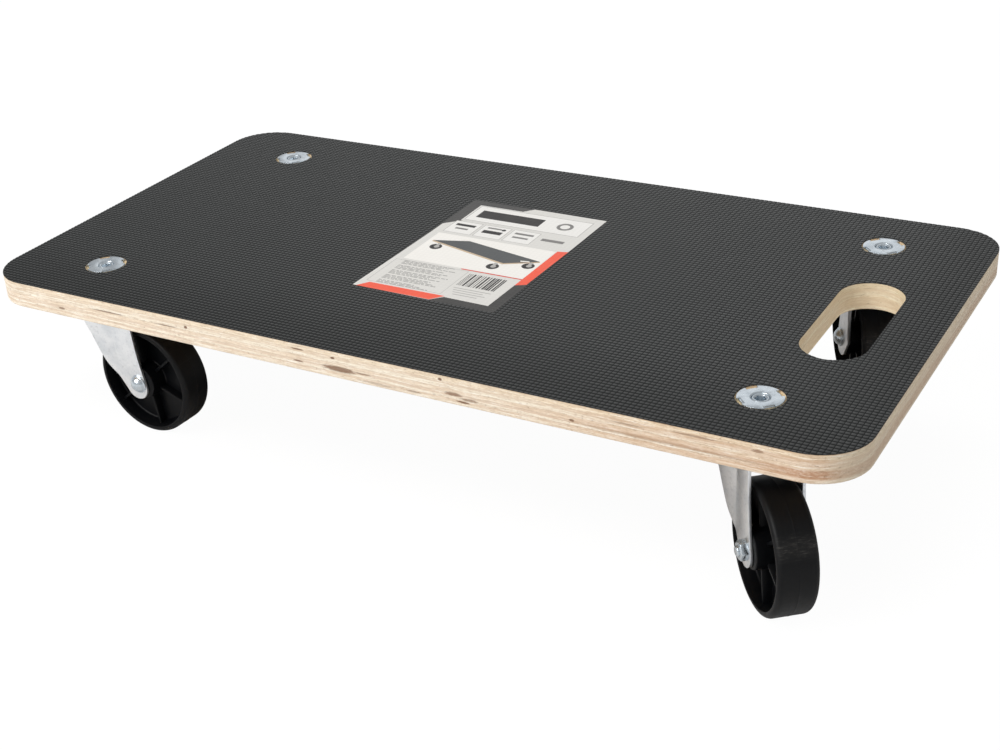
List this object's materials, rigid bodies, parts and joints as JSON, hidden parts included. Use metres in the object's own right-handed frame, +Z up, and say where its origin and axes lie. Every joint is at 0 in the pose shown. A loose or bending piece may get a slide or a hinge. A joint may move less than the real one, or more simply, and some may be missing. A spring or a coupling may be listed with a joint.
{
  "type": "transport dolly",
  "caption": "Low rectangular plywood transport dolly with a black anti-slip deck, a hand hole at one end and a swivel caster under each corner.",
  "frame": {"origin": "on the floor under the centre of the deck", "axes": "+X along the deck toward the hand hole, +Y across the deck, +Z up, normal to the deck"},
  "size_m": [0.575, 0.3244, 0.1115],
  "materials": {
    "birch_plywood": "sawn and lightly eased birch plywood, unpainted edges and underside",
    "phenolic_film": "black phenolic film embossed with a square 3 mm mesh",
    "label_print": "printed satin film sticker",
    "zinc_plate": "pressed steel sheet, bright zinc plated",
    "zinc_bolt": "cold formed steel hardware, bright zinc plated",
    "ball_steel": "hardened bearing balls",
    "black_pp": "satin moulded polypropylene"
  },
  "bodies": {
    "deck": {"plywood_panel": "birch_plywood", "anti_slip_film": "phenolic_film", "product_label": "label_print", "tee_nut_front_left": "zinc_bolt", "mounting_bolt_front_left": "zinc_bolt", "kingpin_front_left": "zinc_plate", "top_race_front_left": "zinc_plate", "lower_race_front_left": "zinc_plate", "tee_nut_front_right": "zinc_bolt", "mounting_bolt_front_right": "zinc_bolt", "kingpin_front_right": "zinc_plate", "top_race_front_right": "zinc_plate", "lower_race_front_right": "zinc_plate", "tee_nut_back_right": "zinc_bolt", "mounting_bolt_back_right": "zinc_bolt", "kingpin_back_right": "zinc_plate", "top_race_back_right": "zinc_plate", "lower_race_back_right": "zinc_plate", "tee_nut_back_left": "zinc_bolt", "mounting_bolt_back_left": "zinc_bolt", "kingpin_back_left": "zinc_plate", "top_race_back_left": "zinc_plate", "lower_race_back_left": "zinc_plate"},
    "swivel_front_left": {"fork_front_left": "zinc_plate", "axle_bolt_front_left": "zinc_bolt", "axle_nut_front_left": "zinc_bolt", "axle_sleeve_front_left": "zinc_plate"},
    "ball_set_front_left": {"upper_balls_front_left": "ball_steel", "lower_balls_front_left": "ball_steel"},
    "roller_front_left": {"wheel_front_left": "black_pp"},
    "swivel_front_right": {"fork_front_right": "zinc_plate", "axle_bolt_front_right": "zinc_bolt", "axle_nut_front_right": "zinc_bolt", "axle_sleeve_front_right": "zinc_plate"},
    "ball_set_front_right": {"upper_balls_front_right": "ball_steel", "lower_balls_front_right": "ball_steel"},
    "roller_front_right": {"wheel_front_right": "black_pp"},
    "swivel_back_right": {"fork_back_right": "zinc_plate", "axle_bolt_back_right": "zinc_bolt", "axle_nut_back_right": "zinc_bolt", "axle_sleeve_back_right": "zinc_plate"},
    "ball_set_back_right": {"upper_balls_back_right": "ball_steel", "lower_balls_back_right": "ball_steel"},
    "roller_back_right": {"wheel_back_right": "black_pp"},
    "swivel_back_left": {"fork_back_left": "zinc_plate", "axle_bolt_back_left": "zinc_bolt", "axle_nut_back_left": "zinc_bolt", "axle_sleeve_back_left": "zinc_plate"},
    "ball_set_back_left": {"upper_balls_back_left": "ball_steel", "lower_balls_back_left": "ball_steel"},
    "roller_back_left": {"wheel_back_left": "black_pp"}
  },
  "joints": [
    {"name": "swivel_turn_front_left", "type": "hinge", "parent": "deck", "child": "swivel_front_left", "pos_m": [-0.2225, -0.105, 0.084], "axis": [0, 0, 1], "continuous": true},
    {"name": "ball_orbit_front_left", "type": "hinge", "parent": "deck", "child": "ball_set_front_left", "pos_m": [-0.2225, -0.105, 0.084], "axis": [0, 0, 1], "continuous": true},
    {"name": "wheel_spin_front_left", "type": "hinge", "parent": "swivel_front_left", "child": "roller_front_left", "pos_m": [-0.19523, -0.10624, 0.0374], "axis": [0.0454, 0.999, 0], "continuous": true},
    {"name": "swivel_turn_front_right", "type": "hinge", "parent": "deck", "child": "swivel_front_right", "pos_m": [0.2225, -0.105, 0.084], "axis": [0, 0, 1], "continuous": true},
    {"name": "ball_orbit_front_right", "type": "hinge", "parent": "deck", "child": "ball_set_front_right", "pos_m": [0.2225, -0.105, 0.084], "axis": [0, 0, 1], "continuous": true},
    {"name": "wheel_spin_front_right", "type": "hinge", "parent": "swivel_front_right", "child": "roller_front_right", "pos_m": [0.24016, -0.12582, 0.0374], "axis": [0.7627, 0.6468, 0], "continuous": true},
    {"name": "swivel_turn_back_right", "type": "hinge", "parent": "deck", "child": "swivel_back_right", "pos_m": [0.2225, 0.105, 0.084], "axis": [0, 0, 1], "continuous": true},
    {"name": "ball_orbit_back_right", "type": "hinge", "parent": "deck", "child": "ball_set_back_right", "pos_m": [0.2225, 0.105, 0.084], "axis": [0, 0, 1], "continuous": true},
    {"name": "wheel_spin_back_right", "type": "hinge", "parent": "swivel_back_right", "child": "roller_back_right", "pos_m": [0.20743, 0.12777, 0.0374], "axis": [-0.8339, -0.5519, 0], "continuous": true},
    {"name": "swivel_turn_back_left", "type": "hinge", "parent": "deck", "child": "swivel_back_left", "pos_m": [-0.2225, 0.105, 0.084], "axis": [0, 0, 1], "continuous": true},
    {"name": "ball_orbit_back_left", "type": "hinge", "parent": "deck", "child": "ball_set_back_left", "pos_m": [-0.2225, 0.105, 0.084], "axis": [0, 0, 1], "continuous": true},
    {"name": "wheel_spin_back_left", "type": "hinge", "parent": "swivel_back_left", "child": "roller_back_left", "pos_m": [-0.24724, 0.11654, 0.0374], "axis": [-0.4226, -0.9063, 0], "continuous": true}
  ],
  "couplings": [
    {"joint": "ball_orbit_front_left", "follows": "swivel_turn_front_left", "ratio": 0.5},
    {"joint": "ball_orbit_front_right", "follows": "swivel_turn_front_right", "ratio": 0.5},
    {"joint": "ball_orbit_back_right", "follows": "swivel_turn_back_right", "ratio": 0.5},
    {"joint": "ball_orbit_back_left", "follows": "swivel_turn_back_left", "ratio": 0.5}
  ]
}
